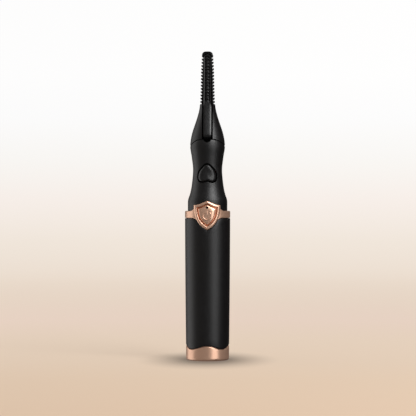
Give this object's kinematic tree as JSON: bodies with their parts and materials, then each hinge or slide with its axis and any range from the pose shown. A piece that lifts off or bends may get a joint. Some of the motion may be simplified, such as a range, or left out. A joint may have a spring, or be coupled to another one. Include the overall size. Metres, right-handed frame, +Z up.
{
  "type": "eyelash curler",
  "caption": "Rechargeable heated eyelash curler: a round handle, a waisted neck with a push button, and a slim comb head with a sprung clamp arm.",
  "frame": {"origin": "centre of the foot cap's flat underside", "axes": "+Z up along the handle to the comb head; -Y is the front, with both buttons and the clamp arm; +X to the right as seen from the front"},
  "size_m": [0.022, 0.0225, 0.15],
  "materials": {
    "soft_touch_black": "soft-touch matt coating on moulded ABS",
    "arm_black": "satin moulded nylon",
    "comb_black": "satin moulded heat-resistant nylon",
    "rose_gold": "rose-gold plated, satin polish",
    "silicone_grey": "matt heat-resistant silicone",
    "steel": "bright drawn steel",
    "aluminium": "satin aluminium strip",
    "heater_film": "amber polyimide heating film",
    "frame_grey": "moulded grey ABS",
    "battery_wrap": "blue heat-shrink sleeve",
    "nickel": "nickel strip",
    "board_green": "green solder mask",
    "chip_black": "black moulded epoxy",
    "lens_white": "milky clear acrylic",
    "wire_red": "red silicone insulation",
    "wire_black": "black silicone insulation",
    "wire_white": "white silicone insulation"
  },
  "bodies": {
    "handle": {"barrel": "soft_touch_black", "neck_front_shell": "soft_touch_black", "neck_back_shell": "soft_touch_black", "nose_cone": "soft_touch_black", "comb_head": "comb_black", "foot_cap": "rose_gold", "shield_ring": "rose_gold", "hinge_pin": "steel", "clamp_spring": "steel", "board_screw_upper": "steel", "board_screw_lower": "steel", "neck_screw": "steel", "tact_switch_body": "steel", "usb_socket_shell": "steel", "heat_plate": "aluminium", "heater_strip": "heater_film", "inner_frame": "frame_grey", "battery_cell": "battery_wrap", "battery_tab_positive": "nickel", "battery_tab_negative": "nickel", "circuit_board": "board_green", "charger_chip": "chip_black", "controller_chip": "chip_black", "heater_switch_chip": "chip_black", "usb_socket_tongue": "chip_black", "thermistor": "chip_black", "status_led": "lens_white", "heater_wire_right": "wire_red", "heater_wire_left": "wire_black", "sensor_wire_left": "wire_white", "sensor_wire_right": "wire_white"},
    "clamp_lever": {"clamp_arm": "arm_black", "clamp_pad": "silicone_grey"},
    "clamp_button_body": {"clamp_button": "soft_touch_black"},
    "power_button_body": {"power_button": "rose_gold", "status_light_lens": "lens_white", "tact_switch_plunger": "chip_black"}
  },
  "joints": [
    {"name": "clamp_open", "type": "hinge", "parent": "handle", "child": "clamp_lever", "pos_m": [0, -0.0042, 0.101], "axis": [1, 0, 0], "range_deg": [0, 7.5], "stiffness_Nm_per_rad": 0.05, "springref_deg": -20.05, "deforming": ["clamp_spring"]},
    {"name": "clamp_button_press", "type": "slide", "parent": "handle", "child": "clamp_button_body", "axis": [0, 1, 0], "range_m": [0, 0.0016]},
    {"name": "power_press", "type": "slide", "parent": "handle", "child": "power_button_body", "axis": [0, 1, 0], "range_m": [0, 0.0004], "stiffness_N_per_m": 600, "springref_m": -0.0004}
  ],
  "couplings": [
    {"joint": "clamp_button_press", "follows": "clamp_open", "m_per_rad": 0.0107}
  ]
}
